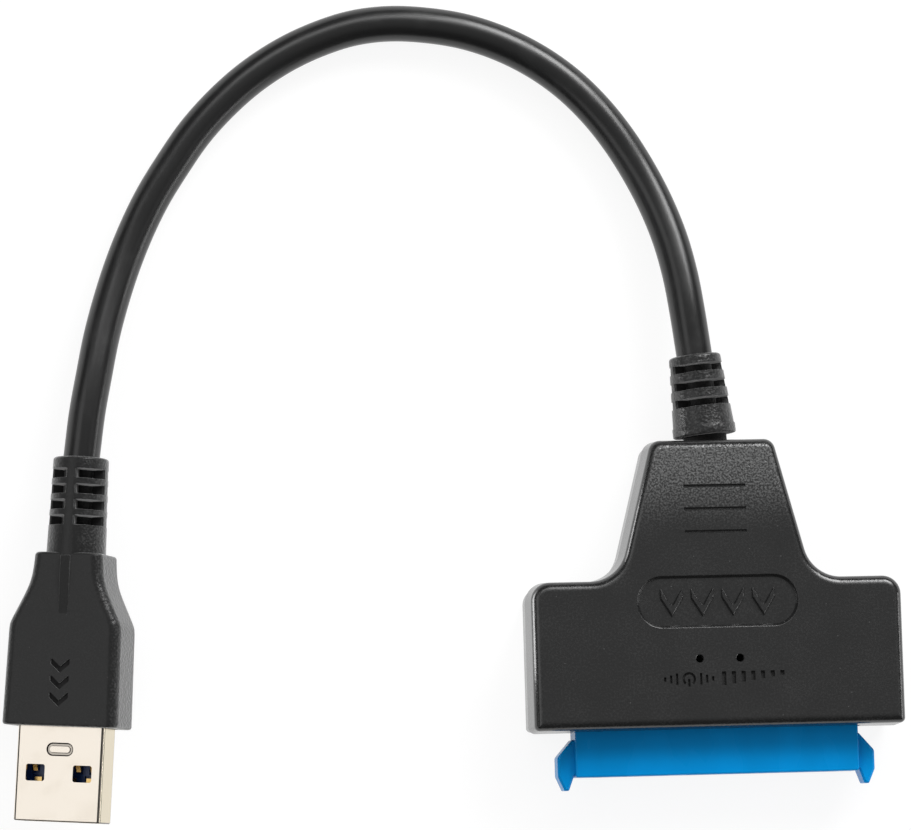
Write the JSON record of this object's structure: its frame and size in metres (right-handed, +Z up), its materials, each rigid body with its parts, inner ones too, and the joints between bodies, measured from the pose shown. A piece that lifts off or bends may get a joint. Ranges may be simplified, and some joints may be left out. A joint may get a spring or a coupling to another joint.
{
  "type": "usb to sata adapter",
  "caption": "Drive adapter: a flat black T-shaped housing with a wide blue drive connector, joined by a short black cord to a flat plug with a metal shell.",
  "frame": {"origin": "on the resting surface, below the middle of the housing and its drive connector", "axes": "-Y out of the drive connector's face, +Y along the housing towards the cord, +Z up out of the marked upper face"},
  "size_m": [0.1192, 0.1089, 0.0123],
  "materials": {
    "housing_plastic": "fine grained satin black moulding",
    "relief_plastic": "fine spark-eroded grain, flexible black moulding",
    "cord_jacket": "smooth satin black jacket",
    "connector_plastic": "smooth bright blue moulding",
    "contact_gold": "gold plated spring strip",
    "board_laminate": "green lacquered laminate",
    "chip_black": "matt black moulding",
    "can_metal": "plated can",
    "ceramic_tan": "fired ceramic",
    "light_lens": "clear lens",
    "shell_metal": "pressed and nickel plated sheet, warm tint",
    "insulator_blue": "smooth dark blue moulding",
    "wire_red": "insulated wire",
    "wire_black": "insulated wire",
    "wire_green": "insulated wire",
    "wire_white": "insulated wire",
    "wire_blue": "insulated wire",
    "wire_yellow": "insulated wire",
    "wire_violet": "insulated wire",
    "wire_orange": "insulated wire"
  },
  "bodies": {
    "root": {"top_housing": "housing_plastic", "bottom_housing": "housing_plastic", "plug_overmould": "housing_plastic", "housing_relief": "relief_plastic", "cord": "cord_jacket", "drive_connector_body": "connector_plastic", "data_contact_1": "contact_gold", "data_contact_2": "contact_gold", "data_contact_3": "contact_gold", "data_contact_4": "contact_gold", "data_contact_5": "contact_gold", "data_contact_6": "contact_gold", "data_contact_7": "contact_gold", "power_contact_1": "contact_gold", "power_contact_2": "contact_gold", "power_contact_3": "contact_gold", "power_contact_4": "contact_gold", "power_contact_5": "contact_gold", "power_contact_6": "contact_gold", "power_contact_7": "contact_gold", "power_contact_8": "contact_gold", "power_contact_9": "contact_gold", "power_contact_10": "contact_gold", "power_contact_11": "contact_gold", "power_contact_12": "contact_gold", "power_contact_13": "contact_gold", "power_contact_14": "contact_gold", "power_contact_15": "contact_gold", "plug_contact_1": "contact_gold", "plug_contact_2": "contact_gold", "plug_contact_3": "contact_gold", "plug_contact_4": "contact_gold", "plug_rear_contact_1": "contact_gold", "plug_rear_contact_2": "contact_gold", "plug_rear_contact_3": "contact_gold", "plug_rear_contact_4": "contact_gold", "plug_rear_contact_5": "contact_gold", "circuit_board": "board_laminate", "bridge_chip": "chip_black", "memory_chip": "chip_black", "regulator": "chip_black", "choke": "chip_black", "plug_inner_mould": "chip_black", "crystal": "can_metal", "capacitor_1": "ceramic_tan", "capacitor_2": "ceramic_tan", "indicator_light_1": "light_lens", "indicator_light_2": "light_lens", "inner_wire_1": "wire_red", "inner_wire_2": "wire_black", "inner_wire_3": "wire_green", "inner_wire_4": "wire_white", "inner_wire_5": "wire_blue", "inner_wire_6": "wire_yellow", "inner_wire_7": "wire_violet", "inner_wire_8": "wire_orange", "plug_shell": "shell_metal", "plug_insulator": "insulator_blue"}
  },
  "joints": []
}
